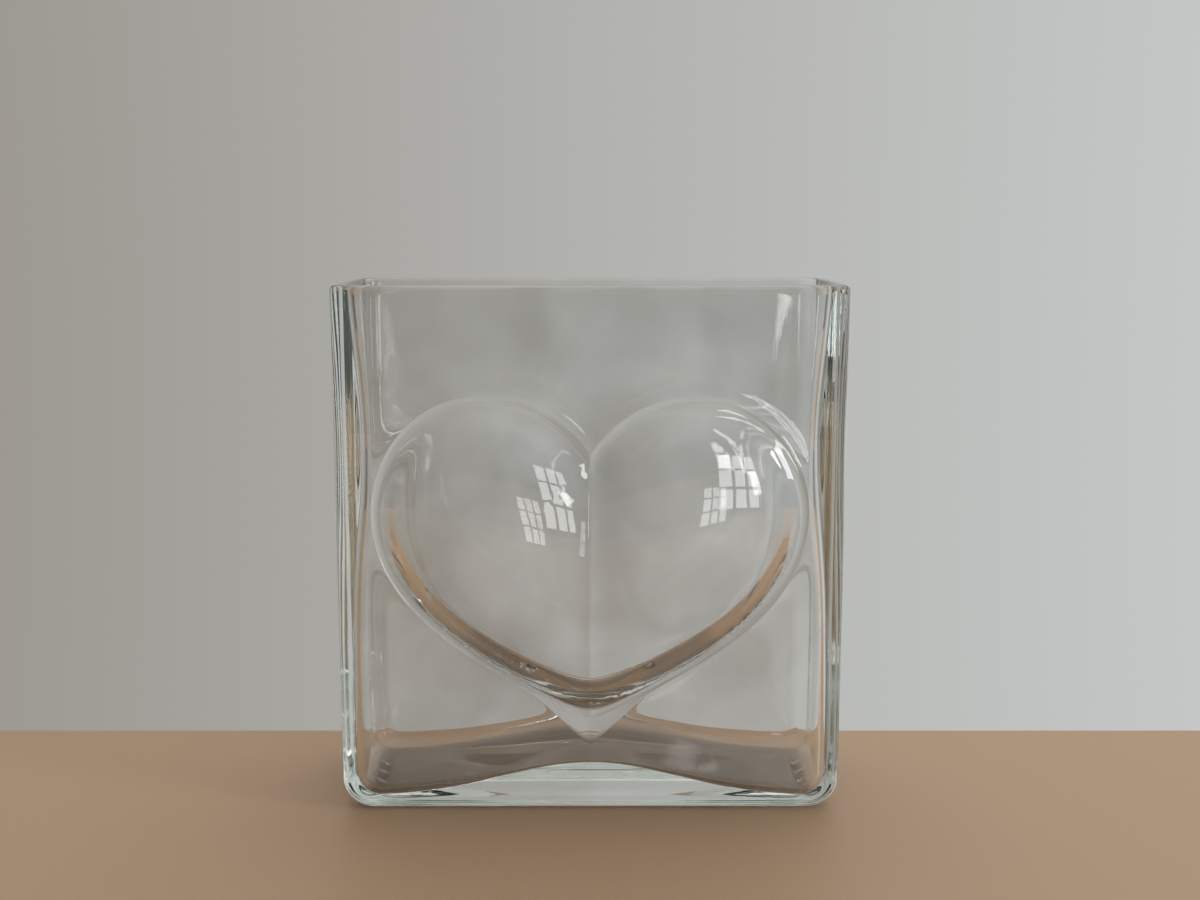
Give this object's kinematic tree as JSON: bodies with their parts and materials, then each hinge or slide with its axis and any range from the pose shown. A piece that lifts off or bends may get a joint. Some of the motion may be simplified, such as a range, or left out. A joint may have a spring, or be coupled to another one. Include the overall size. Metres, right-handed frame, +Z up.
{
  "type": "heart relief glass vase",
  "caption": "Shallow square open-topped vase of clear glass, with a puffed-out heart on its front wall that the hollow follows.",
  "frame": {"origin": "centre of the flat face that the vase stands on, midway between the side walls and between the front and back walls", "axes": "+Z up towards the open rim, -Y out of the wall that carries the heart, +X to the right as the heart is seen"},
  "size_m": [0.15, 0.0679, 0.1575],
  "materials": {
    "clear_glass": "clear soda-lime glass, fire-polished, faintly wavy, with a slight grey-green tint in the thick parts"
  },
  "bodies": {
    "root": {"glass_vase": "clear_glass"}
  },
  "joints": []
}
